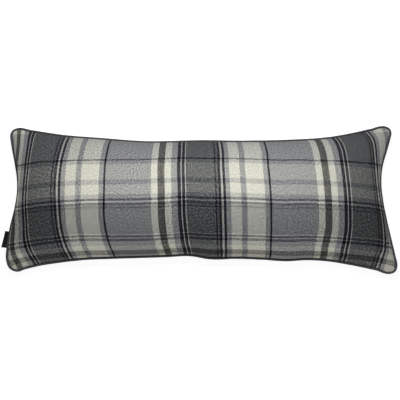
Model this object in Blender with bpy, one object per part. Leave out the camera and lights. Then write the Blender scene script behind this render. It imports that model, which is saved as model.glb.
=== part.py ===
"""Long lumbar cushion: a filled cover with a piped seam and a small blank side label, lying on its back.

Metres, +Z up. +X runs along the cushion, +Y across it, and its face looks up along +Z.
The origin is the middle of the flat patch that the back rests on.
"""

import math
from collections import namedtuple

import bmesh
import bpy
from mathutils import Matrix, Vector

Corner = namedtuple("Corner", "x y radius")
Pull = namedtuple("Pull", "along inward")
Hollow = namedtuple("Hollow", "x y reach depth")
Cloth = namedtuple("Cloth", "colour roughness")

# Heights of the filled cushion, from what it lies on
SEAM_HEIGHT = 0.076
EAR_DROOP = 0.012
END_DROOP_SHARE = 0.3
DROOP_SHARPNESS = 3
FRONT_CROWN = 0.097
BACK_CROWN = 0.105
FLOOR_BLEND = 0.012

# How square the filling makes the cushion towards its ends and its long sides, and how steeply it
# rises from the seam
END_SQUARENESS = 4.0
SIDE_SQUARENESS = 2.0
SEAM_STEEPNESS = 0.555

# The seam's corners, as sharp points before rounding, clockwise from the top left
CORNERS = (
    Corner(x=-0.4420, y=0.1650, radius=0.012),
    Corner(x=0.4435, y=0.1695, radius=0.010),
    Corner(x=0.4510, y=-0.1655, radius=0.012),
    Corner(x=-0.4455, y=-0.1605, radius=0.022),
)

# How far the filling draws each side in: the share of the way to the next corner, and the distance
TOP_PULLS = (
    Pull(0.05, 0.0050),
    Pull(0.13, 0.0170),
    Pull(0.24, 0.0265),
    Pull(0.35, 0.0345),
    Pull(0.50, 0.0335),
    Pull(0.62, 0.0345),
    Pull(0.74, 0.0325),
    Pull(0.84, 0.0260),
    Pull(0.90, 0.0165),
    Pull(0.95, 0.0065),
)
RIGHT_PULLS = (
    Pull(0.07, 0.0035),
    Pull(0.15, 0.0120),
    Pull(0.25, 0.0235),
    Pull(0.38, 0.0300),
    Pull(0.50, 0.0280),
    Pull(0.65, 0.0200),
    Pull(0.80, 0.0100),
    Pull(0.90, 0.0030),
)
BOTTOM_PULLS = (
    Pull(0.05, 0.0075),
    Pull(0.12, 0.0200),
    Pull(0.18, 0.0280),
    Pull(0.23, 0.0300),
    Pull(0.28, 0.0270),
    Pull(0.34, 0.0300),
    Pull(0.41, 0.0320),
    Pull(0.48, 0.0305),
    Pull(0.53, 0.0375),
    Pull(0.59, 0.0350),
    Pull(0.71, 0.0310),
    Pull(0.81, 0.0270),
    Pull(0.87, 0.0205),
    Pull(0.92, 0.0135),
    Pull(0.96, 0.0045),
)
LEFT_PULLS = (
    Pull(0.16, 0.0005),
    Pull(0.30, 0.0070),
    Pull(0.44, 0.0170),
    Pull(0.57, 0.0215),
    Pull(0.66, 0.0195),
    Pull(0.75, 0.0140),
    Pull(0.86, 0.0060),
    Pull(0.94, 0.0010),
)
SIDES = (TOP_PULLS, RIGHT_PULLS, BOTTOM_PULLS, LEFT_PULLS)

# Soft dents in the face, where the filling is thin or the seam is pinched
FACE_HOLLOWS = (
    Hollow(x=0.012, y=-0.108, reach=0.030, depth=0.006),
    Hollow(x=0.245, y=-0.112, reach=0.040, depth=0.004),
    Hollow(x=-0.300, y=0.105, reach=0.050, depth=0.003),
    Hollow(x=0.330, y=0.060, reach=0.060, depth=0.003),
    Hollow(x=-0.395, y=0.006, reach=0.022, depth=0.003),
)

# The seam and its piping
SEAM_LIP = 0.0012
PIPING_DIAMETER = 0.006
PIPING_BEVEL_RESOLUTION = 2
CLEARANCE = 0.0003

# The side label, folded in two and caught in the left seam under the piping
LABEL_WIDTH = 0.039
LABEL_BEYOND_PIPING = 0.011
LABEL_LAYER = 0.0007
LABEL_LOOP_GAP = 0.0008
LABEL_CENTRE_Y = -0.093
LABEL_START = 0.0004
LABEL_DROOP = math.radians(5)
LABEL_FOLD_STEPS = 6

# Grid of each panel, and how strongly its lines crowd towards the seam
COLUMNS = 56
ROWS = 24
CROWDING_ALONG = 0.75
CROWDING_ACROSS = 1.0
CURVE_STEPS = 12

# The plain colour that stands for each cloth, and how rough it is
TARTAN_TWILL = Cloth((0.20, 0.20, 0.20, 1.0), 0.9)
PIPING_CLOTH = Cloth((0.030, 0.032, 0.036, 1.0), 0.85)
LABEL_TAPE = Cloth((0.010, 0.010, 0.011, 1.0), 0.6)


def clear_scene():
    for obj in list(bpy.data.objects):
        bpy.data.objects.remove(obj, do_unlink=True)


def cloth_material(name, cloth):
    material = bpy.data.materials.new(name)
    material.use_nodes = True
    shader = material.node_tree.nodes["Principled BSDF"]
    shader.inputs["Base Color"].default_value = cloth.colour
    shader.inputs["Roughness"].default_value = cloth.roughness
    shader.inputs["Metallic"].default_value = 0.0
    return material


def rounded_corner(number):
    """Start, middle and end of the arc at a corner."""
    corner = CORNERS[number]
    before = CORNERS[number - 1]
    after = CORNERS[(number + 1) % len(CORNERS)]
    tip = Vector((corner.x, corner.y))
    towards_before = (Vector((before.x, before.y)) - tip).normalized()
    towards_after = (Vector((after.x, after.y)) - tip).normalized()
    to_middle = corner.radius * (1 - math.sqrt(0.5))
    return (
        tip + corner.radius * towards_before,
        tip + to_middle * (towards_before + towards_after),
        tip + corner.radius * towards_after,
    )


def drawn_in_points(number):
    """The points of the side that follows a corner, each moved in by its pull."""
    start = Vector((CORNERS[number].x, CORNERS[number].y))
    following = CORNERS[(number + 1) % len(CORNERS)]
    end = Vector((following.x, following.y))
    along = end - start
    inward = Vector((along.y, -along.x)).normalized()
    return [start + pull.along * along + pull.inward * inward for pull in SIDES[number]]


def slope_at(before, here, after):
    """The direction of the smooth curve at a point, per metre of the straight way between points."""
    back = (here - before).length
    ahead = (after - here).length
    return ((here - before) * ahead / back + (after - here) * back / ahead) / (back + ahead)


def smooth_piece(before, start, end, after):
    """Points from start up to end on a smooth curve that also heads for its two neighbours."""
    span = (end - start).length
    slope_start = slope_at(before, start, end)
    slope_end = slope_at(start, end, after)
    points = []
    for step in range(CURVE_STEPS):
        t = step / CURVE_STEPS
        points.append(
            (2 * t**3 - 3 * t**2 + 1) * start
            + (t**3 - 2 * t**2 + t) * span * slope_start
            + (3 * t**2 - 2 * t**3) * end
            + (t**3 - t**2) * span * slope_end
        )
    return points


def seam_sides():
    """The seam in plan as four fine lines, each from the middle of one corner to the middle of the next."""
    knots = []
    middles = []
    for number in range(len(CORNERS)):
        start, middle, end = rounded_corner(number)
        middles.append(len(knots) + 1)
        knots += [start, middle, end]
        knots += drawn_in_points(number)
    pieces = []
    for index, knot in enumerate(knots):
        following = knots[(index + 1) % len(knots)]
        after = knots[(index + 2) % len(knots)]
        pieces.append(smooth_piece(knots[index - 1], knot, following, after))
    sides = []
    for number, first in enumerate(middles):
        last = middles[(number + 1) % len(middles)]
        if last <= first:
            last += len(knots)
        line = []
        for index in range(first, last):
            line += pieces[index % len(knots)]
        line.append(knots[last % len(knots)])
        sides.append(line)
    return sides


def at_share(line, share):
    """The point of a line at a share of its length."""
    lengths = [(b - a).length for a, b in zip(line, line[1:])]
    left = share * sum(lengths)
    for start, end, length in zip(line, line[1:], lengths):
        if left <= length:
            return start.lerp(end, left / length)
        left -= length
    return line[-1]


def crowd(place, strength):
    """Moves a place from -1 to 1 on the panel's grid nearer to the seam."""
    return (1 - strength) * place + strength * math.sin(place * math.pi / 2)


class Plan:
    """The panel in plan: a sheet stretched between the seam's four sides."""

    def __init__(self):
        top, right, bottom, left = seam_sides()
        self.top = top
        self.right = right[::-1]
        self.bottom = bottom[::-1]
        self.left = left

    def place(self, u, v):
        """u runs from -1 at the left to 1 at the right, and v from -1 at the bottom to 1 at the top."""
        s = (u + 1) / 2
        t = (v + 1) / 2
        across = (1 - t) * at_share(self.bottom, s) + t * at_share(self.top, s)
        along = (1 - s) * at_share(self.left, t) + s * at_share(self.right, t)
        corners = (
            (1 - s) * (1 - t) * self.bottom[0]
            + s * (1 - t) * self.bottom[-1]
            + (1 - s) * t * self.top[0]
            + s * t * self.top[-1]
        )
        return across + along - corners


def fullness(u, v):
    """The share of its crown that a panel reaches: 0 on the seam and 1 in the middle."""
    return ((1 - abs(u) ** END_SQUARENESS) * (1 - abs(v) ** SIDE_SQUARENESS)) ** SEAM_STEEPNESS


def seam_height(u, v):
    """The seam hangs a little lower at the cushion's ends, and lowest at its ears."""
    towards_ear = END_DROOP_SHARE + (1 - END_DROOP_SHARE) * v**2
    return SEAM_HEIGHT - EAR_DROOP * abs(u) ** DROOP_SHARPNESS * towards_ear


def hollow_depth(place):
    return sum(
        hollow.depth * math.exp(-((place.x - hollow.x) ** 2 + (place.y - hollow.y) ** 2) / hollow.reach**2)
        for hollow in FACE_HOLLOWS
    )


def front_height(u, v, place):
    share = fullness(u, v)
    return seam_height(u, v) + SEAM_LIP + FRONT_CROWN * share - hollow_depth(place) * share


def back_height(u, v):
    """The back hangs below the seam and is pressed flat where it meets the surface."""
    free = seam_height(u, v) - SEAM_LIP - BACK_CROWN * fullness(u, v)
    overlap = max(FLOOR_BLEND - abs(free), 0.0)
    return max(free, 0.0) + overlap**2 / (4 * FLOOR_BLEND)


def add_panel(bm, plan, is_front):
    """A grid shaped into the front or the back panel. Returns its outer edges."""
    made = bmesh.ops.create_grid(bm, x_segments=COLUMNS, y_segments=ROWS, size=1.0)
    for vert in made["verts"]:
        u = crowd(vert.co.x, CROWDING_ALONG)
        v = crowd(vert.co.y, CROWDING_ACROSS)
        place = plan.place(u, v)
        height = front_height(u, v, place) if is_front else back_height(u, v)
        vert.co = (place.x, place.y, height)
    faces = {face for vert in made["verts"] for face in vert.link_faces}
    if not is_front:
        bmesh.ops.reverse_faces(bm, faces=list(faces))
    return [edge for edge in {edge for face in faces for edge in face.edges} if edge.is_boundary]


def make_cushion(plan, collection):
    """The filled cover as one solid: both panels, joined by a narrow lip along the seam."""
    bm = bmesh.new()
    rims = add_panel(bm, plan, True) + add_panel(bm, plan, False)
    bmesh.ops.bridge_loops(bm, edges=rims)
    bmesh.ops.recalc_face_normals(bm, faces=bm.faces)
    mesh = bpy.data.meshes.new("cushion")
    bm.to_mesh(mesh)
    bm.free()
    mesh.shade_smooth()
    mesh.materials.append(cloth_material("tartan_twill", TARTAN_TWILL))
    cushion = bpy.data.objects.new("cushion", mesh)
    collection.objects.link(cushion)
    return cushion


def rim_places():
    """The grid places on the seam, clockwise from the top left corner."""
    columns = [crowd(2 * step / COLUMNS - 1, CROWDING_ALONG) for step in range(COLUMNS)]
    rows = [crowd(2 * step / ROWS - 1, CROWDING_ACROSS) for step in range(ROWS)]
    return (
        [(u, 1.0) for u in columns]
        + [(1.0, -v) for v in rows]
        + [(-u, -1.0) for u in columns]
        + [(-1.0, v) for v in rows]
    )


def beside_seam(plan, distance):
    """The seam's points moved outwards, so that each stretch stays parallel to the cushion's rim."""
    places = rim_places()
    points = [plan.place(u, v) for u, v in places]
    moved = []
    for index, (u, v) in enumerate(places):
        here = points[index]
        before = (here - points[index - 1]).normalized()
        after = (points[(index + 1) % len(points)] - here).normalized()
        middle = (before + after).normalized()
        outward = Vector((-middle.y, middle.x))
        plan_point = here + distance / middle.dot(after) * outward
        moved.append((plan_point.x, plan_point.y, seam_height(u, v)))
    return moved


def make_piping(plan, collection):
    """One closed cord along the whole seam."""
    curve = bpy.data.curves.new("piping", "CURVE")
    curve.dimensions = "3D"
    curve.bevel_depth = PIPING_DIAMETER / 2
    curve.bevel_resolution = PIPING_BEVEL_RESOLUTION
    points = beside_seam(plan, CLEARANCE + PIPING_DIAMETER / 2)
    spline = curve.splines.new("POLY")
    spline.points.add(len(points) - 1)
    for point, place in zip(spline.points, points):
        point.co = (*place, 1.0)
    spline.use_cyclic_u = True
    curve.materials.append(cloth_material("piping_cloth", PIPING_CLOTH))
    piping = bpy.data.objects.new("piping", curve)
    collection.objects.link(piping)
    return piping


def label_section():
    """The label's section as a closed outline: two layers that leave the seam and meet in a round fold."""
    outer = LABEL_LAYER + LABEL_LOOP_GAP / 2
    inner = LABEL_LOOP_GAP / 2
    fold_centre = CLEARANCE + PIPING_DIAMETER + LABEL_BEYOND_PIPING - outer
    outline = [(LABEL_START, outer)]
    for step in range(LABEL_FOLD_STEPS + 1):
        angle = math.pi * (0.5 - step / LABEL_FOLD_STEPS)
        outline.append((fold_centre + outer * math.cos(angle), outer * math.sin(angle)))
    outline += [(LABEL_START, -outer), (LABEL_START, -inner)]
    for step in range(LABEL_FOLD_STEPS + 1):
        angle = math.pi * (step / LABEL_FOLD_STEPS - 0.5)
        outline.append((fold_centre + inner * math.cos(angle), inner * math.sin(angle)))
    outline.append((LABEL_START, inner))
    return [(x, y - outer) for x, y in outline]


def seam_point(plan, v):
    """The left seam in space."""
    place = plan.place(-1.0, v)
    return Vector((place.x, place.y, seam_height(-1.0, v)))


def make_label(plan, collection):
    """The folded label, which leaves the left seam just under the piping."""
    half_width = LABEL_WIDTH / 2
    half_side = (plan.left[-1].y - plan.left[0].y) / 2
    centre_v = (LABEL_CENTRE_Y - plan.left[0].y) / half_side - 1
    lower = seam_point(plan, centre_v - half_width / half_side)
    upper = seam_point(plan, centre_v + half_width / half_side)
    along = (upper - lower).normalized()
    outward = along.cross(Vector((0, 0, -1))).normalized()
    upward = along.cross(outward)
    curve = bpy.data.curves.new("label", "CURVE")
    curve.dimensions = "2D"
    curve.fill_mode = "BOTH"
    curve.extrude = half_width
    spline = curve.splines.new("POLY")
    outline = label_section()
    spline.points.add(len(outline) - 1)
    for point, (x, y) in zip(spline.points, outline):
        point.co = (x, y, 0.0, 1.0)
    spline.use_cyclic_u = True
    curve.materials.append(cloth_material("label_tape", LABEL_TAPE))
    label = bpy.data.objects.new("label", curve)
    under_piping = seam_point(plan, centre_v) - (PIPING_DIAMETER / 2 + CLEARANCE) * upward
    facing = Matrix((outward, upward, along)).transposed().to_4x4()
    label.matrix_world = Matrix.Translation(under_piping) @ facing @ Matrix.Rotation(-LABEL_DROOP, 4, "Z")
    collection.objects.link(label)
    return label


def main():
    clear_scene()
    collection = bpy.data.collections.new("lumbar_cushion")
    bpy.context.scene.collection.children.link(collection)
    plan = Plan()
    make_cushion(plan, collection)
    make_piping(plan, collection)
    make_label(plan, collection)


main()
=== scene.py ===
# %% [markdown]
# # A long lumbar cushion in grey tartan
#
# The real thing is a filled cover, about 90 cm long: two tartan panels sewn face to face round a
# piped seam, turned, and filled until the face stands up in a soft crown. It lies on its back.
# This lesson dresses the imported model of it. We make the floor and the light first, then the two
# panels, the piping and a small side label, and give each its own cloth.

import math

import bmesh
import bpy
import numpy as np
from mathutils import Matrix, Vector, noise


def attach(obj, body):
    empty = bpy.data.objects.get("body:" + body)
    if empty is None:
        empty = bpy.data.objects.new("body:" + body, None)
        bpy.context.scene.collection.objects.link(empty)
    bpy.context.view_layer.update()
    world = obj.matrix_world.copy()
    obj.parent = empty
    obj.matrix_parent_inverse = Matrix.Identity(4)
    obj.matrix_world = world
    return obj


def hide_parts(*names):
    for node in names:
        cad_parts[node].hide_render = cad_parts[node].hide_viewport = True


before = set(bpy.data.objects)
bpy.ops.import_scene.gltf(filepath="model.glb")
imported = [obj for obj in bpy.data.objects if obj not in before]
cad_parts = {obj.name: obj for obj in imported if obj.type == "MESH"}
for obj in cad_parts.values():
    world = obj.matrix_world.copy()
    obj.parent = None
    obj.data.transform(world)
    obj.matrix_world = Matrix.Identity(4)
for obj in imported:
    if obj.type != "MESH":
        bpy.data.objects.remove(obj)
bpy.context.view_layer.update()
print("packed nodes:", ", ".join(sorted(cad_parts)))

# %% [markdown]
# ## Camera
#
# The photograph looks almost straight down on the face, from a little to the side of its lower
# edge, through a long lens from about three metres. A long lens keeps the two ends the same size.
# We could place the camera by eye, but an aim point, a distance and a tilt are three plain numbers
# that can be measured from the photograph.

# %% Camera over the face
AIM = Vector((-0.0012, -0.0012, 0.080))
CAMERA_DISTANCE = 3.0
CAMERA_TILT = math.radians(8.0)
LENS_MM = 115.88
SENSOR_MM = 36.0

camera_data = bpy.data.cameras.new("camera")
camera_data.lens = LENS_MM
camera_data.sensor_width = SENSOR_MM
camera = bpy.data.objects.new("camera", camera_data)
towards_camera = Vector((0.0, -math.sin(CAMERA_TILT), math.cos(CAMERA_TILT)))
camera.location = AIM + CAMERA_DISTANCE * towards_camera
camera.rotation_euler = (CAMERA_TILT, 0.0, 0.0)
bpy.context.scene.collection.objects.link(camera)
bpy.context.scene.camera = camera
print("camera at", [round(value, 3) for value in camera.location])

# %% [markdown]
# ## Floor and studio light
#
# A shop photograph like this one is taken on a white sweep that is lit until it comes out pure
# white. Many lamps could do that. A white plane that glows a little does it with less trouble, and
# leaves only a breath of shadow. The cushion itself is lit by a dim even world and one soft box,
# a metre above it and a little towards its upper edge. A lamp as near as that makes the light fall
# off towards the ends, and the lower edge turns away from it.

# %% White floor
FLOOR_SIDE = 12.0
FLOOR_GREY = 0.30
FLOOR_GLOW = 0.93


def shader_of(material):
    material.use_nodes = True
    return material.node_tree.nodes["Principled BSDF"]


floor_mesh = bpy.data.meshes.new("floor")
half = FLOOR_SIDE / 2
floor_mesh.from_pydata(
    [(-half, -half, 0.0), (half, -half, 0.0), (half, half, 0.0), (-half, half, 0.0)],
    [],
    [(0, 1, 2, 3)],
)
floor = bpy.data.objects.new("floor", floor_mesh)
bpy.context.scene.collection.objects.link(floor)
floor_paint = bpy.data.materials.new("white_sweep")
floor_shader = shader_of(floor_paint)
floor_shader.inputs["Base Color"].default_value = (FLOOR_GREY, FLOOR_GREY, FLOOR_GREY, 1.0)
floor_shader.inputs["Roughness"].default_value = 0.9
floor_shader.inputs["Emission Color"].default_value = (1.0, 1.0, 1.0, 1.0)
floor_shader.inputs["Emission Strength"].default_value = FLOOR_GLOW
floor_mesh.materials.append(floor_paint)

# %% Lamp and world
WORLD_STRENGTH = 0.12
LAMP_PLACE = Vector((0.0, 0.18, 1.12))
LAMP_AIM = Vector((0.0, 0.0, 0.1))
LAMP_LENGTH = 0.6
LAMP_BREADTH = 0.4
LAMP_WATTS = 13.6

world = bpy.data.worlds.new("studio")
bpy.context.scene.world = world
world.use_nodes = True
world_light = world.node_tree.nodes["Background"]
world_light.inputs["Color"].default_value = (1.0, 1.0, 1.0, 1.0)
world_light.inputs["Strength"].default_value = WORLD_STRENGTH

lamp_data = bpy.data.lights.new("soft_box_over", "AREA")
lamp_data.shape = "RECTANGLE"
lamp_data.size = LAMP_LENGTH
lamp_data.size_y = LAMP_BREADTH
lamp_data.energy = LAMP_WATTS
lamp = bpy.data.objects.new("soft_box_over", lamp_data)
lamp.location = LAMP_PLACE
lamp.rotation_euler = (LAMP_AIM - LAMP_PLACE).to_track_quat("-Z", "Y").to_euler()
bpy.context.scene.collection.objects.link(lamp)
bpy.context.scene.view_settings.view_transform = "Standard"
print("lamp:", lamp.name, "at", [round(value, 2) for value in lamp.location])

# %% [markdown]
# ## The seam, seen from above
#
# A cushion cover is cut almost as a rectangle. The filling pulls each side in between the corners,
# and the corners stay out as blunt ears. One could sculpt that. Here the seam is a smooth curve
# through a few measured places on each side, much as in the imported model, so the cushion fits its
# frame. Its corners lie about 2 mm further out than there, because the piping here is slimmer, and
# the outline with the piping on it is then the same.

# %% Corners and sides of the seam
CORNERS = np.array([(-0.4440, 0.1670), (0.4455, 0.1715), (0.4530, -0.1675), (-0.4475, -0.1625)])
CORNER_RADII = (0.012, 0.010, 0.012, 0.022)
# Share of the way to the next corner, and how far the side is drawn in there
TOP_PULLS = (
    (0.05, 0.0050), (0.13, 0.0170), (0.24, 0.0263), (0.35, 0.0343), (0.50, 0.0329),
    (0.62, 0.0343), (0.74, 0.0323), (0.84, 0.0260), (0.90, 0.0165), (0.95, 0.0065),
)
RIGHT_PULLS = (
    (0.07, 0.0035), (0.15, 0.0120), (0.25, 0.0235), (0.38, 0.0300),
    (0.50, 0.0280), (0.65, 0.0200), (0.80, 0.0100), (0.90, 0.0030),
)
BOTTOM_PULLS = (
    (0.05, 0.0075), (0.12, 0.0200), (0.18, 0.0280), (0.23, 0.0300), (0.28, 0.0270),
    (0.34, 0.0300), (0.41, 0.0320), (0.48, 0.0305), (0.53, 0.0375), (0.59, 0.0350),
    (0.71, 0.0310), (0.81, 0.0270), (0.87, 0.0205), (0.92, 0.0135), (0.96, 0.0045),
)
LEFT_PULLS = (
    (0.16, 0.0005), (0.30, 0.0070), (0.44, 0.0170), (0.57, 0.0215),
    (0.66, 0.0195), (0.75, 0.0140), (0.86, 0.0060), (0.94, 0.0010),
)
SIDES = (TOP_PULLS, RIGHT_PULLS, BOTTOM_PULLS, LEFT_PULLS)
CURVE_STEPS = 12


def unit(vector):
    return vector / np.linalg.norm(vector)


def seam_knots():
    """Places on the seam, clockwise from the top left corner, and which of them are corner middles."""
    knots = []
    middles = []
    for number, tip in enumerate(CORNERS):
        radius = CORNER_RADII[number]
        after = CORNERS[(number + 1) % 4]
        back = unit(CORNERS[number - 1] - tip)
        ahead = unit(after - tip)
        knots.append(tip + radius * back)
        middles.append(len(knots))
        knots.append(tip + radius * (1 - math.sqrt(0.5)) * (back + ahead))
        knots.append(tip + radius * ahead)
        along = after - tip
        inward = unit(np.array([along[1], -along[0]]))
        knots += [tip + share * along + pull * inward for share, pull in SIDES[number]]
    return knots, middles


def slope_at(before, here, after):
    back = np.linalg.norm(here - before)
    ahead = np.linalg.norm(after - here)
    return ((here - before) * ahead / back + (after - here) * back / ahead) / (back + ahead)


def smooth_piece(before, start, end, after):
    """Points from start up to end on a smooth curve that also heads for its two neighbours."""
    t = np.arange(CURVE_STEPS)[:, None] / CURVE_STEPS
    span = np.linalg.norm(end - start)
    return (
        (2 * t**3 - 3 * t**2 + 1) * start
        + (t**3 - 2 * t**2 + t) * span * slope_at(before, start, end)
        + (3 * t**2 - 2 * t**3) * end
        + (t**3 - t**2) * span * slope_at(start, end, after)
    )


def seam_sides():
    """Four fine lines, each from the middle of one corner to the middle of the next."""
    knots, middles = seam_knots()
    count = len(knots)
    pieces = [
        smooth_piece(knots[n - 1], knots[n], knots[(n + 1) % count], knots[(n + 2) % count])
        for n in range(count)
    ]
    sides = []
    for number, first in enumerate(middles):
        last = middles[(number + 1) % 4]
        last += count if last <= first else 0
        line = [pieces[n % count] for n in range(first, last)]
        sides.append(np.vstack(line + [knots[last % count]]))
    return sides


def at_share(line, share):
    """Points of a line at shares of its length."""
    steps = np.linalg.norm(np.diff(line, axis=0), axis=1)
    reached = np.concatenate([[0.0], np.cumsum(steps)])
    reached /= reached[-1]
    return np.stack([np.interp(share, reached, line[:, axis]) for axis in (0, 1)], axis=-1)


top_side, right_side, bottom_side, left_side = seam_sides()
right_side = right_side[::-1]
bottom_side = bottom_side[::-1]
print("seam points:", sum(len(side) for side in (top_side, right_side, bottom_side, left_side)))

# %% [markdown]
# ## The crown
#
# Between its seams a filled panel rises steeply and then flattens into a broad crown. The height
# is one formula of two places: u runs from -1 at the left end to 1 at the right end, and v from -1
# at the bottom to 1 at the top. The back hangs down in the same way until it meets the floor, where
# it is pressed flat. Little filling reaches into the ears, so the panels lie flatter there. A
# formula is worth the trouble, because the outline then stays exact from every side, and the cloth
# simulation only has to add what a formula can't: the small puckers.

# %% Places and heights of the two panels
SEAM_HEIGHT = 0.076
EAR_DROOP = 0.012
END_DROOP_SHARE = 0.3
FRONT_CROWN = 0.097
BACK_CROWN = 0.105
SEAM_LIP = 0.0012
FLOOR_BLEND = 0.012
END_SQUARENESS = 4.0
SIDE_SQUARENESS = 2.0
SEAM_STEEPNESS = 0.555
EAR_FLATNESS = 0.6
EAR_LENGTH = 14.0
EAR_BREADTH = 4.0
# Middle x and y, reach and depth of the soft dents in the face
FACE_HOLLOWS = (
    (0.012, -0.108, 0.030, 0.006),
    (0.245, -0.112, 0.040, 0.004),
    (-0.300, 0.105, 0.050, 0.003),
    (0.330, 0.060, 0.060, 0.003),
    (-0.395, 0.006, 0.022, 0.003),
)


def plan_place(u, v):
    """The panel in plan: a sheet stretched between the four sides."""
    s = ((u + 1) / 2)[..., None]
    t = ((v + 1) / 2)[..., None]
    across = (1 - t) * at_share(bottom_side, s[..., 0]) + t * at_share(top_side, s[..., 0])
    along = (1 - s) * at_share(left_side, t[..., 0]) + s * at_share(right_side, t[..., 0])
    corners = (
        (1 - s) * (1 - t) * bottom_side[0]
        + s * (1 - t) * bottom_side[-1]
        + (1 - s) * t * top_side[0]
        + s * t * top_side[-1]
    )
    return across + along - corners


def fullness(u, v):
    """Height above the seam as a share of the crown: steep at the seam, and lower in the ears."""
    square = (1 - np.abs(u) ** END_SQUARENESS) * (1 - np.abs(v) ** SIDE_SQUARENESS)
    ear = np.abs(u) ** EAR_LENGTH * np.abs(v) ** EAR_BREADTH
    return np.clip(square, 0, 1) ** (SEAM_STEEPNESS + EAR_FLATNESS * ear)


def seam_height(u, v):
    towards_ear = END_DROOP_SHARE + (1 - END_DROOP_SHARE) * v**2
    return SEAM_HEIGHT - EAR_DROOP * np.abs(u) ** 3 * towards_ear


def hollow_depth(place):
    depth = np.zeros(place.shape[:-1])
    for x, y, reach, deepest in FACE_HOLLOWS:
        away = (place[..., 0] - x) ** 2 + (place[..., 1] - y) ** 2
        depth += deepest * np.exp(-away / reach**2)
    return depth


def front_height(u, v, place):
    share = fullness(u, v)
    return seam_height(u, v) + SEAM_LIP + (FRONT_CROWN - hollow_depth(place)) * share


def settle_on_floor(height):
    """Flattens what would sink below the floor, with a soft turn at its edge."""
    overlap = np.maximum(FLOOR_BLEND - np.abs(height), 0.0)
    return np.maximum(height, 0.0) + overlap**2 / (4 * FLOOR_BLEND)


def back_height(u, v):
    return settle_on_floor(seam_height(u, v) - SEAM_LIP - BACK_CROWN * fullness(u, v))


print("crown of the face:", round(SEAM_HEIGHT + SEAM_LIP + FRONT_CROWN, 4), "m")

# %% [markdown]
# ## How the tartan lies on the cover
#
# Woven cloth doesn't stretch like rubber, so a stripe keeps its width along the surface, not along
# the picture. We lay the cloth out by the length of the surface itself, measured from the middle
# of the face. Then come the small ways in which real cloth departs from that: the filling stretches
# it a little, the long seams gather it, so that the stripes lean in towards the middle there, and
# the cross stripes hang a little lower at both ends. Each is one named value, read off the stripes
# in the photograph. A list of forty places, set against the photograph, then shifts the pattern
# where it still lay differently. Each shifts it by less than 5 mm on the face, and by as much as
# 19 mm in the ears. Another way is to lay the stripes out straight, but a real cover never has
# them quite straight.

# %% The grid of a panel, and lengths along it
COLUMNS = 128
ROWS = 56
CROWDING_ALONG = 0.75
CROWDING_ACROSS = 0.85
EDGE_BULGE = 0.0030
BOTTOM_EASE = 0.55
TOP_EASE = 0.70
BULGE_HEIGHT = 0.013
EDGE_SHARPNESS = 9


def crowd(place, strength):
    """Moves grid places nearer to the seam, where the cloth turns most."""
    return (1 - strength) * place + strength * np.sin(place * math.pi / 2)


grid_u, grid_v = np.meshgrid(
    crowd(np.linspace(-1, 1, COLUMNS + 1), CROWDING_ALONG),
    crowd(np.linspace(-1, 1, ROWS + 1), CROWDING_ACROSS),
    indexing="ij",
)
grid_place = plan_place(grid_u, grid_v)


def over_piping(place, rise):
    """Moves the cloth out just beside the seam, where it bulges over the piping, most at the ends."""
    outward = np.dstack([grid_u**EDGE_SHARPNESS, grid_v**EDGE_SHARPNESS])
    outward /= np.maximum(np.linalg.norm(outward, axis=2, keepdims=True), 1e-6)
    share = np.abs(rise) / BULGE_HEIGHT
    to_top = np.clip(outward[..., 1], 0, 1)
    to_bottom = np.clip(-outward[..., 1], 0, 1)
    ease = 1 - BOTTOM_EASE * to_bottom - TOP_EASE * to_top
    return place + (EDGE_BULGE * ease * share * np.exp(1 - share))[..., None] * outward


face_heights = front_height(grid_u, grid_v, grid_place)
back_heights = back_height(grid_u, grid_v)
rim_heights = seam_height(grid_u, grid_v)
face_points = np.dstack([over_piping(grid_place, face_heights - rim_heights - SEAM_LIP), face_heights])
back_points = np.dstack([over_piping(grid_place, rim_heights - SEAM_LIP - back_heights), back_heights])


def surface_lengths(points):
    """Lengths along the cushion and across it, from the middle of the panel, at each grid point."""
    along = np.zeros(points.shape[:2])
    across = np.zeros(points.shape[:2])
    along[1:] = np.cumsum(np.linalg.norm(np.diff(points, axis=0), axis=2), axis=0)
    across[:, 1:] = np.cumsum(np.linalg.norm(np.diff(points, axis=1), axis=2), axis=1)
    return along - along[COLUMNS // 2], across - across[:, ROWS // 2 : ROWS // 2 + 1]


face_along, face_across = surface_lengths(face_points)
back_along, back_across = surface_lengths(back_points)
print("face along its middle:", round(float(np.ptp(face_along[:, ROWS // 2])), 3), "m")
print("face across its middle:", round(float(np.ptp(face_across[COLUMNS // 2])), 3), "m")

# %% Where each point of the face lies in the cloth
WARP_AT_MIDDLE = 0.2129
WEFT_AT_MIDDLE = -0.095
STRETCH_ALONG = 0.985
SLACK_ACROSS = 1.054
GATHER_FADE = 2.7
TOP_GATHER = 0.028
TOP_SHIFT = 0.007
BOTTOM_GATHER = 0.025
BOTTOM_SHIFT = -0.003
TUCK_U = 0.01
TUCK_DEPTH = 0.006
TUCK_WIDTH = 0.06
TUCK_REACH = 0.35
CROSS_BOW = 0.012
BOW_MIDDLE = 0.08
BOW_SHARPNESS = 1.3
TOP_TURN = 0.014
BOTTOM_TURN = 0.012
TURN_SHARPNESS = 30
BACK_WARP_AT_MIDDLE = 0.151
BACK_WEFT_AT_MIDDLE = -0.055
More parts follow.
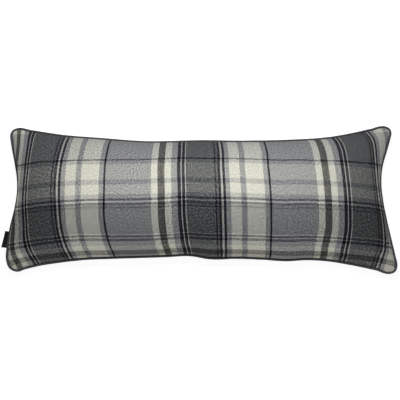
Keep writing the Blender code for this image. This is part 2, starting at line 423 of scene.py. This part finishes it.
# Where the pattern is shifted: middle u and v, reach in u and v, millimetres along and across
CREPT_CLOTH = (
    (-1.00, 0.75, 0.22, 0.55, -14.0, 0.0),
    (-1.00, 0.90, 0.065, 0.40, -19.0, 0.0),
    (-1.00, 1.00, 0.20, 0.14, 0.0, 12.0),
    (-1.00, -0.70, 0.25, 0.60, -18.0, 0.0),
    (-0.97, 0.97, 0.09, 0.12, 0.0, 12.0),
    (-0.96, 1.00, 0.09, 0.22, 8.0, 0.0),
    (-0.96, 0.35, 0.08, 0.20, -2.5, 0.0),
    (-0.98, -0.42, 0.07, 0.17, -6.0, 0.0),
    (-0.97, -0.76, 0.07, 0.15, 3.2, 0.0),
    (-0.95, -1.00, 0.16, 0.20, 0.0, -6.5),
    (-0.93, -0.76, 0.12, 0.12, 0.0, 4.5),
    (-0.92, -1.00, 0.18, 0.14, -4.0, 0.0),
    (-0.90, -0.68, 0.16, 0.25, 4.5, 0.0),
    (-0.85, 0.00, 0.12, 0.30, 2.0, 0.0),
    (-0.65, -0.75, 0.14, 0.35, 0.0, -2.8),
    (-0.65, 0.00, 0.12, 0.90, -1.3, 0.0),
    (-0.55, 0.45, 0.18, 0.65, -2.6, 0.0),
    (-0.50, 0.45, 0.14, 0.40, 0.0, 1.8),
    (-0.35, 0.50, 0.08, 0.40, -2.6, 0.0),
    (-0.20, -0.85, 0.15, 0.25, 2.0, 0.0),
    (-0.10, -0.95, 0.10, 0.20, 3.0, 0.0),
    (-0.08, 0.45, 0.07, 0.35, 0.0, 2.0),
    (0.17, -0.70, 0.22, 0.40, -2.6, 0.0),
    (0.17, 0.95, 0.18, 0.15, 1.8, 0.0),
    (0.45, 0.35, 0.38, 0.60, 4.5, 0.0),
    (0.62, 0.55, 0.07, 0.40, 0.0, 2.0),
    (0.61, -0.92, 0.12, 0.24, 3.4, 0.0),
    (0.66, -0.50, 0.14, 0.18, -2.2, 0.0),
    (0.70, 0.40, 0.14, 0.50, 1.1, 0.0),
    (0.86, 0.40, 0.10, 0.45, 0.0, 1.8),
    (0.87, 1.00, 0.13, 0.12, 10.5, 0.0),
    (0.95, -1.00, 0.18, 0.18, 8.0, 0.0),
    (0.97, -0.45, 0.10, 0.30, -4.0, 0.0),
    (0.97, 0.85, 0.10, 0.35, 6.0, 0.0),
    (0.97, 0.97, 0.09, 0.12, 0.0, 6.0),
    (0.95, -0.70, 0.08, 0.15, -3.5, 0.0),
    (0.96, -0.85, 0.10, 0.20, 0.0, 2.5),
    (1.00, 0.45, 0.14, 0.50, 8.0, 0.0),
    (1.00, -1.00, 0.12, 0.20, 0.0, -4.0),
    (1.00, 1.00, 0.20, 0.14, 0.0, 12.0),
)


def face_cloth(u, v, along, across):
    """Place in the cloth, along the cushion and across it, in metres."""
    top = np.clip(v, 0, 1) ** GATHER_FADE
    bottom = np.clip(-v, 0, 1) ** GATHER_FADE
    tuck = np.tanh((u - TUCK_U) / TUCK_WIDTH) * np.exp(-(((u - TUCK_U) / TUCK_REACH) ** 2))
    warp = WARP_AT_MIDDLE + STRETCH_ALONG * along
    warp += top * (TOP_SHIFT + TOP_GATHER * u)
    warp += bottom * (BOTTOM_SHIFT + BOTTOM_GATHER * u + TUCK_DEPTH * tuck)
    weft = WEFT_AT_MIDDLE + SLACK_ACROSS * across
    for middle_u, middle_v, reach_u, reach_v, mm_along, mm_across in CREPT_CLOTH:
        away = ((u - middle_u) / reach_u) ** 2 + ((v - middle_v) / reach_v) ** 2
        warp += mm_along / 1000 * np.exp(-away)
        weft += mm_across / 1000 * np.exp(-away)
    weft += CROSS_BOW * np.abs(u - BOW_MIDDLE) ** BOW_SHARPNESS
    weft -= TOP_TURN * np.clip(v, 0, 1) ** TURN_SHARPNESS
    weft += BOTTOM_TURN * np.clip(-v, 0, 1) ** TURN_SHARPNESS
    return np.dstack([warp, weft])


def back_cloth(u, v, along, across):
    """The back is cut from the same cloth, a little further along, and lies plainly."""
    gather = np.abs(v) ** GATHER_FADE * BOTTOM_GATHER * u
    return np.dstack([BACK_WARP_AT_MIDDLE + along + gather, BACK_WEFT_AT_MIDDLE + across])


face_uv = face_cloth(grid_u, grid_v, face_along, face_across)
back_uv = back_cloth(grid_u, grid_v, back_along, back_across)
print("cloth on the face, lowest and highest:", face_uv.min((0, 1)).round(3), face_uv.max((0, 1)).round(3))

# %% [markdown]
# ## Sewing and filling
#
# The two panels become one closed mesh, joined by a narrow lip where the seam is. To get the small
# puckers of a real cover we let Blender's cloth solver work on it: the seam is held, a gentle
# pressure fills it, and the springs are given the lengths of the flat cloth, which is longer than
# the seam that gathers it. What we take from the result is only the fine shape, the creases and
# puckers. The broad swelling is left out, because the formula already has it right.

# %% Build the closed cover
BAKE_MARGIN = 0.01

cover = bmesh.new()


def add_panel_points(points):
    return [[cover.verts.new(points[i, j]) for j in range(ROWS + 1)] for i in range(COLUMNS + 1)]


def rim_places():
    """Grid places on the seam, clockwise from the top left corner."""
    return (
        [(i, ROWS) for i in range(COLUMNS)]
        + [(COLUMNS, j) for j in range(ROWS, 0, -1)]
        + [(i, 0) for i in range(COLUMNS, 0, -1)]
        + [(0, j) for j in range(ROWS)]
    )


face_verts = add_panel_points(face_points)
back_verts = add_panel_points(back_points)
cloth_map = cover.loops.layers.uv.new("cloth")
bake_map = cover.loops.layers.uv.new("OFBake")


def bake_place(i, j, is_face):
    """Both panels fill one square, the face above the back, with a margin between them."""
    across_share = (grid_v[i, j] + 1) / 2
    share_u = BAKE_MARGIN + (1 - 2 * BAKE_MARGIN) * (grid_u[i, j] + 1) / 2
    share_v = BAKE_MARGIN + (0.5 - 2 * BAKE_MARGIN) * across_share
    return share_u, share_v + (0.5 if is_face else 0.0)


def add_cell(corners, verts, places, is_face):
    face = cover.faces.new([verts[i][j] for i, j in corners])
    face.smooth = True
    for loop, (i, j) in zip(face.loops, corners):
        loop[cloth_map].uv = places[i, j]
        loop[bake_map].uv = bake_place(i, j, is_face)


for i in range(COLUMNS):
    for j in range(ROWS):
        cell = [(i, j), (i + 1, j), (i + 1, j + 1), (i, j + 1)]
        add_cell(cell, face_verts, face_uv, True)
        add_cell(cell[::-1], back_verts, back_uv, False)
rim = rim_places()
for (i, j), (k, m) in zip(rim, rim[1:] + rim[:1]):
    lip = cover.faces.new([face_verts[i][j], face_verts[k][m], back_verts[k][m], back_verts[i][j]])
    lip.smooth = True
    for loop, (p, q) in zip(lip.loops, [(i, j), (k, m), (k, m), (i, j)]):
        loop[cloth_map].uv = face_uv[p, q]
        loop[bake_map].uv = bake_place(p, q, True)
cover.verts.index_update()
face_index = np.array([[vert.index for vert in column] for column in face_verts])
back_index = np.array([[vert.index for vert in column] for column in back_verts])
cushion_mesh = bpy.data.meshes.new("tartan_cushion")
cover.to_mesh(cushion_mesh)
cover.free()
cushion = bpy.data.objects.new("tartan_cushion", cushion_mesh)
bpy.context.scene.collection.objects.link(cushion)
print("cover:", len(cushion_mesh.vertices), "points,", len(cushion_mesh.polygons), "cells")

# %% Fill it with the cloth solver
FILLING_PRESSURE = 4.0
LAST_FRAME = 20
PUCKER_CAP = 0.006
SMOOTHING_ROUNDS = 60


def points_of(mesh):
    flat = np.empty(len(mesh.vertices) * 3)
    mesh.vertices.foreach_get("co", flat)
    return flat.reshape(-1, 3)


def fill_cover(piece):
    """Runs the cloth solver and returns where each point ends."""
    before = points_of(piece.data)
    piece.shape_key_add(name="filled")
    cut = piece.shape_key_add(name="cut")
    flat = before.copy()
    flat[face_index.ravel()] = np.dstack([face_uv, np.zeros(face_uv.shape[:2])]).reshape(-1, 3)
    flat[back_index.ravel()] = np.dstack([back_uv, np.zeros(back_uv.shape[:2])]).reshape(-1, 3)
    cut.data.foreach_set("co", flat.ravel())
    held = piece.vertex_groups.new(name="held")
    rim_rows = [index[i, j] for index in (face_index, back_index) for i, j in rim]
    on_floor = [int(n) for n in back_index.ravel() if before[n, 2] < FLOOR_BLEND / 4]
    held.add([int(n) for n in rim_rows] + on_floor, 1.0, "REPLACE")
    solver = piece.modifiers.new("filling", "CLOTH")
    cloth = solver.settings
    cloth.quality = 6
    cloth.mass = 0.15
    cloth.tension_stiffness = 20.0
    cloth.compression_stiffness = 12.0
    cloth.shear_stiffness = 6.0
    cloth.bending_stiffness = 0.6
    cloth.use_pressure = True
    cloth.uniform_pressure_force = FILLING_PRESSURE
    cloth.vertex_group_mass = "held"
    cloth.effector_weights.gravity = 0.0
    cloth.rest_shape_key = cut
    solver.collision_settings.use_collision = False
    solver.point_cache.frame_start = 1
    solver.point_cache.frame_end = LAST_FRAME
    for number in range(1, LAST_FRAME + 1):
        bpy.context.scene.frame_set(number)
    graph = bpy.context.evaluated_depsgraph_get()
    after = points_of(piece.evaluated_get(graph).data)
    piece.modifiers.remove(solver)
    piece.shape_key_clear()
    piece.vertex_groups.clear()
    bpy.context.scene.frame_set(1)
    return after - before


def smoothed(field):
    """The broad part of a field of moves on the grid, with the seam kept still."""
    broad = field.copy()
    for _ in range(SMOOTHING_ROUNDS):
        middle = broad[1:-1, 1:-1]
        around = broad[2:, 1:-1] + broad[:-2, 1:-1] + broad[1:-1, 2:] + broad[1:-1, :-2]
        broad[1:-1, 1:-1] = 0.5 * middle + 0.125 * around
    return broad


def capped(field):
    length = np.linalg.norm(field, axis=-1, keepdims=True)
    return field * PUCKER_CAP * np.tanh(length / PUCKER_CAP) / np.maximum(length, 1e-9)


moves = fill_cover(cushion)
print("solver moved points by up to", round(float(np.abs(moves).max()) * 1000, 1), "mm")
settled = points_of(cushion_mesh)
for index in (face_index, back_index):
    field = moves[index]
    fine = capped(field - smoothed(field))
    print("puckers up to", round(float(np.abs(fine).max()) * 1000, 1), "mm")
    settled[index] += fine
settled[:, 2] = np.maximum(settled[:, 2], 0.0)
cushion_mesh.vertices.foreach_set("co", settled.ravel())
cushion_mesh.update()

# %% Smooth the cover once
smooth = cushion.modifiers.new("smooth", "SUBSURF")
smooth.levels = 1
smooth.render_levels = 1
print("cover has", 4 * len(cushion_mesh.polygons), "cells when smoothed")

# %% [markdown]
# ## Tartan cloth
#
# A tartan has one order of stripes, the sett, used both along the cloth and across it. It is woven
# as a two and two twill: each thread goes over two and under two, one step further on each row,
# which makes the fine slanting lines. So the colour of a point follows from three things: which
# warp thread it is on, which weft thread, and which of the two lies on top there. We count threads
# in the shader instead of painting a picture, so the cloth stays sharp at any distance.
#
# Where a pale yarn crosses a dark one the cloth looks darker than their average, perhaps because
# each thread shades the next. So the two are blended under a low power, which gives the dark one
# more weight. The yarn is heathered too, spun of lighter and darker wool, which mottles the dark
# stripes and hardly shows in the palest.

# %% Yarns and sett
# Yarn shades as the eye orders them, and the power under which two crossing yarns blend
YARN_GAMMA = 2.2
MIX_POWER = 0.25
# One thread is 1.15 mm wide: 326 of them lie in 37.42 cm
THREAD = 0.3742 / 326
YARNS = {
    "cream": (0.735, 0.733, 0.685),
    "ecru": (0.580, 0.578, 0.555),
    "grey": (0.470, 0.474, 0.479),
    "dark": (0.240, 0.240, 0.230),
    "charcoal": (0.228, 0.235, 0.238),
    "black": (0.085, 0.085, 0.105),
}
SETT = (
    ("grey", 90), ("cream", 13), ("dark", 14), ("cream", 13), ("grey", 13), ("black", 6),
    ("ecru", 3), ("black", 5), ("ecru", 3), ("charcoal", 56), ("black", 4), ("charcoal", 4),
    ("black", 5), ("ecru", 3), ("black", 6), ("grey", 9), ("cream", 20), ("grey", 12),
    ("cream", 35), ("grey", 9), ("black", 5),
)
SETT_THREADS = sum(count for _, count in SETT)
print("sett:", len(SETT), "stripes,", SETT_THREADS, "threads, repeat", round(SETT_THREADS * THREAD, 4), "m")


class Nodes:
    """A short way to add and join shader nodes."""

    def __init__(self, tree):
        self.tree = tree

    def add(self, kind, **settings):
        node = self.tree.nodes.new(kind)
        for name, value in settings.items():
            setattr(node, name, value)
        return node

    def feed(self, socket, value):
        if isinstance(value, bpy.types.NodeSocket):
            self.tree.links.new(value, socket)
        else:
            socket.default_value = value

    def math(self, operation, *values):
        node = self.add("ShaderNodeMath", operation=operation)
        for socket, value in zip(node.inputs, values):
            self.feed(socket, value)
        return node.outputs[0]

    def mix(self, share, first, second):
        node = self.add("ShaderNodeMix", data_type="RGBA")
        self.feed(node.inputs[0], share)
        self.feed(node.inputs[6], first)
        self.feed(node.inputs[7], second)
        return node.outputs[2]

    def noise(self, place, scale, detail=2.0, roughness=0.5):
        node = self.add("ShaderNodeTexNoise")
        self.feed(node.inputs["Vector"], place)
        node.inputs["Scale"].default_value = scale
        node.inputs["Detail"].default_value = detail
        node.inputs["Roughness"].default_value = roughness
        return node.outputs["Fac"]

    def uneven(self, place, scale, detail=2.0, roughness=0.5):
        """Noise about zero."""
        return self.math("SUBTRACT", self.noise(place, scale, detail, roughness), 0.5)

    def thread_round(self, place):
        """Height of round threads side by side, one to each whole number."""
        return self.math("ABSOLUTE", self.math("SINE", self.math("MULTIPLY", place, math.pi)))

    def bump(self, shader, height, strength, distance):
        node = self.add("ShaderNodeBump")
        node.inputs["Strength"].default_value = strength
        node.inputs["Distance"].default_value = distance
        self.feed(node.inputs["Height"], height)
        self.feed(shader.inputs["Normal"], node.outputs[0])

    def vector(self, x, y, z=0.0):
        node = self.add("ShaderNodeCombineXYZ")
        for socket, value in zip(node.inputs, (x, y, z)):
            self.feed(socket, value)
        return node.outputs[0]

    def grey(self, colour):
        node = self.add("ShaderNodeRGBToBW")
        self.feed(node.inputs[0], colour)
        return node.outputs[0]


def sett_colour(nodes, thread_number):
    """The yarn of a thread, by its number."""
    thread_middle = nodes.math("ADD", thread_number, 0.5)
    place = nodes.math("FRACT", nodes.math("DIVIDE", thread_middle, SETT_THREADS))
    ramp = nodes.add("ShaderNodeValToRGB")
    stripes = ramp.color_ramp
    stripes.interpolation = "CONSTANT"
    start = 0
    for number, (yarn, count) in enumerate(SETT):
        if number < 2:
            stop = stripes.elements[number]
            stop.position = start / SETT_THREADS
        else:
            stop = stripes.elements.new(start / SETT_THREADS)
        stop.color = (*(value**MIX_POWER for value in YARNS[yarn]), 1.0)
        start += count
    nodes.feed(ramp.inputs["Fac"], place)
    return ramp.outputs["Color"]


# %% The tartan twill material
WARP_SHARE = 0.66
TWILL_CONTRAST = 0.15
FUZZ = 0.06
HEATHER_MIX = 1.15
HEATHER_TONE = 1.8
PALEST_YARN = 0.99
# Fineness of each unevenness, in waves to a thread
FUZZ_GRAIN = 1.1
MOTTLE_GRAIN = 0.36
HEATHER_GRAIN = 0.34
CLOUD_GRAIN = 0.04
SLUB_STRETCH = 0.2
SLUB_TONE = 0.010
CLOUD_TONE = 0.006
FUZZ_TONE = 0.010
FUZZ_HEIGHT = 0.8


def tartan_material():
    material = bpy.data.materials.new("tartan_twill")
    shader = shader_of(material)
    nodes = Nodes(material.node_tree)
    uv = nodes.add("ShaderNodeUVMap", uv_map="cloth")
    split = nodes.add("ShaderNodeSeparateXYZ")
    nodes.feed(split.inputs[0], uv.outputs["UV"])
    warp_place = nodes.math("DIVIDE", split.outputs[0], THREAD)
    weft_place = nodes.math("DIVIDE", split.outputs[1], THREAD)
    warp_number = nodes.math("FLOOR", warp_place)
    weft_number = nodes.math("FLOOR", weft_place)
    step = nodes.math("FLOORED_MODULO", nodes.math("SUBTRACT", warp_number, weft_number), 4.0)
    warp_on_top = nodes.math("LESS_THAN", step, 2.0)
    in_threads = nodes.vector(warp_place, weft_place)
    fuzz = nodes.uneven(in_threads, FUZZ_GRAIN, 3.0, 0.7)
    share = nodes.math("MULTIPLY_ADD", warp_on_top, 2 * TWILL_CONTRAST, WARP_SHARE - TWILL_CONTRAST)
    share = nodes.math("MULTIPLY_ADD", fuzz, 2 * FUZZ, share)
    mottle = nodes.uneven(in_threads, MOTTLE_GRAIN, 1.0)
    share = nodes.math("MULTIPLY_ADD", mottle, HEATHER_MIX, share)
    clear = nodes.add("ShaderNodeClamp")
    nodes.feed(clear.inputs[0], share)
    mixed = nodes.mix(clear.outputs[0], sett_colour(nodes, weft_number), sett_colour(nodes, warp_number))
    down_warp = nodes.vector(warp_place, nodes.math("MULTIPLY", weft_place, SLUB_STRETCH))
    along_weft = nodes.vector(nodes.math("MULTIPLY", warp_place, SLUB_STRETCH), weft_place)
    slub = nodes.math("ADD", nodes.uneven(down_warp, 1.0, 1.0), nodes.uneven(along_weft, 1.0, 1.0))
    cloud = nodes.uneven(in_threads, CLOUD_GRAIN, 2.0)
    tone = nodes.math("MULTIPLY_ADD", slub, SLUB_TONE, 1.0)
    tone = nodes.math("MULTIPLY_ADD", cloud, CLOUD_TONE, tone)
    tone = nodes.math("MULTIPLY_ADD", fuzz, FUZZ_TONE, tone)
    heather = nodes.uneven(in_threads, HEATHER_GRAIN, 1.0)
    depth = nodes.math("SUBTRACT", PALEST_YARN, nodes.grey(mixed))
    tone = nodes.math("MULTIPLY_ADD", nodes.math("MULTIPLY", heather, depth), HEATHER_TONE, tone)
    toned = nodes.add("ShaderNodeVectorMath", operation="SCALE")
    nodes.feed(toned.inputs[0], mixed)
    nodes.feed(toned.inputs["Scale"], tone)
    gamma = nodes.add("ShaderNodeGamma")
    nodes.feed(gamma.inputs[0], toned.outputs[0])
    gamma.inputs[1].default_value = YARN_GAMMA / MIX_POWER
    nodes.feed(shader.inputs["Base Color"], gamma.outputs[0])
    under = nodes.math("SUBTRACT", 1.0, warp_on_top)
    height = nodes.math("MULTIPLY", warp_on_top, nodes.thread_round(warp_place))
    height = nodes.math("MULTIPLY_ADD", under, nodes.thread_round(weft_place), height)
    height = nodes.math("MULTIPLY_ADD", fuzz, FUZZ_HEIGHT, height)
    nodes.bump(shader, height, 0.4, 0.00025)
    shader.inputs["Roughness"].default_value = 0.92
    shader.inputs["Specular IOR Level"].default_value = 0.06
    return material


cushion_mesh.materials.append(tartan_material())
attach(cushion, "root")
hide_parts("cushion")
print("tartan on", cushion.name)

# %% [markdown]
# ## Piping
#
# The dark line round the cushion is piping: a strip of plain cloth, cut on the slant so that it
# bends, wrapped round a cord and caught in the seam. A plain tube would look like wire. We sweep a
# section that is round outside and narrows to a neck where it goes into the seam, and let its
# thickness waver a little, as a wrapped cord does. It is 4.8 mm thick, slimmer than the packed
# model's, because so little of a sewn piping shows beside the cloth that bulges over it.

# %% The line that the cord follows
PIPING_DIAMETER = 0.0048
CLEARANCE = 0.0003
CORD_SPACING = 0.004
LONG_SIDE_STEPS = 400
SHORT_SIDE_STEPS = 150


def cord_line():
    """Points beside the seam, evenly spaced, clockwise, and the length of their line."""
    sides = (top_side, right_side[::-1], bottom_side[::-1], left_side)
    rise_long = np.linspace(-1, 1, LONG_SIDE_STEPS)
    rise_short = np.linspace(-1, 1, SHORT_SIDE_STEPS)
    edge_long = np.ones(LONG_SIDE_STEPS)
    edge_short = np.ones(SHORT_SIDE_STEPS)
    rim_u = (rise_long, edge_short, -rise_long, -edge_short)
    rim_v = (edge_long, -rise_short, -edge_long, rise_short)
    plan = []
    heights = []
    for side, u, v in zip(sides, rim_u, rim_v):
        shares = np.linspace(0, 1, len(u))
        plan.append(at_share(side, shares)[:-1])
        heights.append(seam_height(u, v)[:-1])
    plan = np.vstack(plan)
    heights = np.concatenate(heights)
    ahead = np.roll(plan, -1, axis=0) - np.roll(plan, 1, axis=0)
    ahead /= np.linalg.norm(ahead, axis=1, keepdims=True)
    outward = np.stack([-ahead[:, 1], ahead[:, 0]], axis=1)
    beside = plan + (CLEARANCE + PIPING_DIAMETER / 2) * outward
    line = np.column_stack([beside, heights])
    steps = np.linalg.norm(np.roll(line, -1, axis=0) - line, axis=1)
    reached = np.concatenate([[0.0], np.cumsum(steps)])
    count = round(reached[-1] / CORD_SPACING)
    wanted = np.arange(count) / count * reached[-1]
    closed = np.vstack([line, line[:1]])
    even = np.stack([np.interp(wanted, reached, closed[:, axis]) for axis in range(3)], axis=1)
    return even, reached[-1]


cord_points, cord_length = cord_line()
print("piping is", round(float(cord_length), 3), "m long,", len(cord_points), "rings")

# %% Sweep the wrapped cord
CORD_SIDES = 18
NECK_REACH = 0.0034
NECK_HALF = 0.0007
CORD_WAVER = 0.00025
WAVER_GRAIN = 60
WRAP_HALF = math.radians(155)


def cord_section():
    """Round outside, with a neck on the side of the seam: outward and upward distances."""
    radius = PIPING_DIAMETER / 2
    ring = []
    for n in range(CORD_SIDES):
        angle = WRAP_HALF - 2 * WRAP_HALF * n / (CORD_SIDES - 1)
        ring.append((radius * math.cos(angle), radius * math.sin(angle)))
    ring += [(-NECK_REACH, -NECK_HALF), (-NECK_REACH, NECK_HALF)]
    return np.array(ring)


def make_piping():
    section = cord_section()
    count = len(cord_points)
    ahead = np.roll(cord_points, -1, axis=0) - np.roll(cord_points, 1, axis=0)
    ahead /= np.linalg.norm(ahead, axis=1, keepdims=True)
    up = np.array([0.0, 0.0, 1.0])
    outward = np.cross(up, ahead)
    outward /= np.linalg.norm(outward, axis=1, keepdims=True)
    upward = np.cross(ahead, outward)
    tube = bmesh.new()
    wrap_map = tube.loops.layers.uv.new("wrap")
    rings = []
    for n in range(count):
        waver = noise.noise(Vector(cord_points[n]) * WAVER_GRAIN)
        thick = 1 + CORD_WAVER / PIPING_DIAMETER * 2 * waver
        ring = []
        for m, (out, rise) in enumerate(section):
            scale = thick if m < CORD_SIDES else 1.0
            point = cord_points[n] + scale * (out * outward[n] + rise * upward[n])
            ring.append(tube.verts.new(point))
        rings.append(ring)
    edges = np.linalg.norm(np.roll(section, -1, axis=0) - section, axis=1)
    around = np.concatenate([[0.0], np.cumsum(edges)])
    for n in range(count):
        first = rings[n]
        second = rings[(n + 1) % count]
        for m in range(len(section)):
            k = (m + 1) % len(section)
            face = tube.faces.new([first[m], first[k], second[k], second[m]])
            face.smooth = True
            ends = [(n, m), (n, m + 1), (n + 1, m + 1), (n + 1, m)]
            for loop, (row, column) in zip(face.loops, ends):
                loop[wrap_map].uv = (row * CORD_SPACING, around[column])
    bmesh.ops.recalc_face_normals(tube, faces=tube.faces)
    mesh = bpy.data.meshes.new("piped_seam")
    tube.to_mesh(mesh)
    tube.free()
    piece = bpy.data.objects.new("piped_seam", mesh)
    bpy.context.scene.collection.objects.link(piece)
    return piece


piping = make_piping()
print("piping:", len(piping.data.polygons), "cells")

# %% The piping's cloth
BIAS_THREAD = 0.00055
# Painted shade for the gaps between the piping's threads, and painted light for their crowns
PIPING_SHADED_GAP_AND_MOTTLE = (0.018, 0.021, 0.024, 1.0)
PIPING_LIT_CROWN_AND_MOTTLE = (0.058, 0.066, 0.074, 1.0)


def piping_material():
    material = bpy.data.materials.new("piping_cloth")
    shader = shader_of(material)
    nodes = Nodes(material.node_tree)
    uv = nodes.add("ShaderNodeUVMap", uv_map="wrap")
    split = nodes.add("ShaderNodeSeparateXYZ")
    nodes.feed(split.inputs[0], uv.outputs["UV"])
    rising = nodes.math("DIVIDE", nodes.math("ADD", split.outputs[0], split.outputs[1]), BIAS_THREAD)
    falling = nodes.math("DIVIDE", nodes.math("SUBTRACT", split.outputs[0], split.outputs[1]), BIAS_THREAD)
    rising_round = nodes.math("ABSOLUTE", nodes.math("SINE", rising))
    falling_round = nodes.math("ABSOLUTE", nodes.math("SINE", falling))
    weave = nodes.math("MULTIPLY", rising_round, falling_round)
    lint = nodes.noise(uv.outputs["UV"], 900.0, 3.0, 0.6)
    cloud = nodes.noise(uv.outputs["UV"], 40.0, 2.0)
    # The crowns of the bias threads are painted lighter and the gaps between them painted in shade, mixed
    # with random lint and cloudy tone.
    tone = nodes.math("MULTIPLY_ADD", weave, 0.5, nodes.math("MULTIPLY", lint, 0.5))
    tone = nodes.math("MULTIPLY_ADD", cloud, 0.3, tone)
    nodes.feed(shader.inputs["Base Color"], nodes.mix(tone, PIPING_SHADED_GAP_AND_MOTTLE, PIPING_LIT_CROWN_AND_MOTTLE))
    nodes.bump(shader, weave, 0.5, 0.0002)
    shader.inputs["Roughness"].default_value = 0.75
    shader.inputs["Specular IOR Level"].default_value = 0.2
    shader.inputs["Sheen Weight"].default_value = 0.05
    return material


piping.data.materials.append(piping_material())
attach(piping, "root")
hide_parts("piping")
print("piping cloth on", piping.name)

# %% [markdown]
# ## Side label
#
# A short length of plain black woven tape, folded in two and caught in the left seam. It could be
# a flat card, but then its fold wouldn't show from the end. So it is a thin strip that leaves the
# seam under the piping, bends round at its fold and comes back, swept along the tape's width. It
# is sewn in a little askew, so one end stands out further than the other.

# %% Fold the tape
LABEL_WIDTH = 0.039
LABEL_BEYOND_PIPING = 0.011
LABEL_LAYER = 0.0007
LABEL_LOOP_GAP = 0.0008
LABEL_CENTRE_Y = -0.093
LABEL_START = 0.0004
LABEL_DROOP = math.radians(5)
LABEL_FOLD_STEPS = 10
LABEL_RUN_STEPS = 12
LABEL_COLUMNS = 30
LABEL_CURL = 0.0012
LABEL_SKEW = 0.22


def left_seam_point(v):
    place = at_share(left_side, np.array([(v + 1) / 2]))[0]
    return Vector((place[0], place[1], float(seam_height(np.array(-1.0), np.array(v)))))


def tape_centre_line():
    """Out from the seam, round the fold and back: distance from the seam and height."""
    radius = (LABEL_LAYER + LABEL_LOOP_GAP) / 2
    fold_centre = CLEARANCE + PIPING_DIAMETER + LABEL_BEYOND_PIPING - radius - LABEL_LAYER / 2
    run = np.linspace(LABEL_START, fold_centre, LABEL_RUN_STEPS, endpoint=False)
    line = [(x, radius) for x in run]
    for step in range(LABEL_FOLD_STEPS + 1):
        angle = math.pi * (0.5 - step / LABEL_FOLD_STEPS)
        line.append((fold_centre + radius * math.cos(angle), radius * math.sin(angle)))
    line += [(x, -radius) for x in run[::-1]]
    return np.array(line) - (0.0, radius + LABEL_LAYER / 2)


def make_label():
    half_side = (left_side[-1][1] - left_side[0][1]) / 2
    centre_v = (LABEL_CENTRE_Y - left_side[0][1]) / half_side - 1
    lower = left_seam_point(centre_v - LABEL_WIDTH / 2 / half_side)
    upper = left_seam_point(centre_v + LABEL_WIDTH / 2 / half_side)
    along = (upper - lower).normalized()
    outward = along.cross(Vector((0, 0, -1))).normalized()
    upward = along.cross(outward)
    start = left_seam_point(centre_v) - (PIPING_DIAMETER / 2 + CLEARANCE) * upward
    droop = Matrix.Rotation(-LABEL_DROOP, 3, "Z")
    line = tape_centre_line()
    lengths = np.concatenate([[0.0], np.cumsum(np.linalg.norm(np.diff(line, axis=0), axis=1))])
    reach = line[:, 0].max()
    strip = bmesh.new()
    tape_map = strip.loops.layers.uv.new("tape")
    columns = []
    for n in range(LABEL_COLUMNS + 1):
        share = n / LABEL_COLUMNS - 0.5
        column = []
        for x, y in line:
            curl = LABEL_CURL * (x / reach) ** 2 * (4 * share**2 - 0.5 - 0.8 * share)
            flat = droop @ Vector((x * (1 - LABEL_SKEW * share), y + curl, 0.0))
            point = start + flat.x * outward + flat.y * upward + share * LABEL_WIDTH * along
            column.append(strip.verts.new(point))
        columns.append(column)
    for n in range(LABEL_COLUMNS):
        for m in range(len(line) - 1):
            corners = [(n, m), (n + 1, m), (n + 1, m + 1), (n, m + 1)]
            face = strip.faces.new([columns[p][q] for p, q in corners])
            face.smooth = True
            for loop, (p, q) in zip(face.loops, corners):
                loop[tape_map].uv = (p / LABEL_COLUMNS * LABEL_WIDTH, lengths[q])
    mesh = bpy.data.meshes.new("side_label")
    strip.to_mesh(mesh)
    strip.free()
    piece = bpy.data.objects.new("side_label", mesh)
    bpy.context.scene.collection.objects.link(piece)
    thicken = piece.modifiers.new("layer", "SOLIDIFY")
    thicken.thickness = LABEL_LAYER
    thicken.offset = 0.0
    return piece, float(lengths[-1])


label, label_length = make_label()
print("label tape:", LABEL_WIDTH, "by", round(label_length, 4), "m before folding")

# %% The label's satin tape
TAPE_THREAD = 0.0003
# Painted shade for the gaps between the tape's threads, and painted light for the crowns of its floats and
# threads
TAPE_SHADED_GAP_AND_LINT = (0.002, 0.002, 0.002, 1.0)
TAPE_LIT_CROWN_AND_LINT = (0.010, 0.010, 0.011, 1.0)


def tape_material():
    material = bpy.data.materials.new("label_tape")
    shader = shader_of(material)
    nodes = Nodes(material.node_tree)
    uv = nodes.add("ShaderNodeUVMap", uv_map="tape")
    split = nodes.add("ShaderNodeSeparateXYZ")
    nodes.feed(split.inputs[0], uv.outputs["UV"])
    across = nodes.math("DIVIDE", split.outputs[0], TAPE_THREAD)
    down = nodes.math("DIVIDE", split.outputs[1], TAPE_THREAD)
    floats = nodes.thread_round(nodes.math("DIVIDE", across, 5.0))
    weave = nodes.math("MULTIPLY_ADD", floats, 0.3, nodes.thread_round(down))
    lint = nodes.noise(uv.outputs["UV"], 1500.0, 2.0)
    # The crowns of the floats and threads are painted lighter and the gaps between them painted in shade,
    # times random lint.
    tone = nodes.math("MULTIPLY", weave, lint)
    nodes.feed(shader.inputs["Base Color"], nodes.mix(tone, TAPE_SHADED_GAP_AND_LINT, TAPE_LIT_CROWN_AND_LINT))
    nodes.bump(shader, weave, 0.4, 0.0001)
    shader.inputs["Roughness"].default_value = 0.55
    shader.inputs["Specular IOR Level"].default_value = 0.15
    return material


label.data.materials.append(tape_material())
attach(label, "root")
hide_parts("label")
print("satin tape on", label.name)
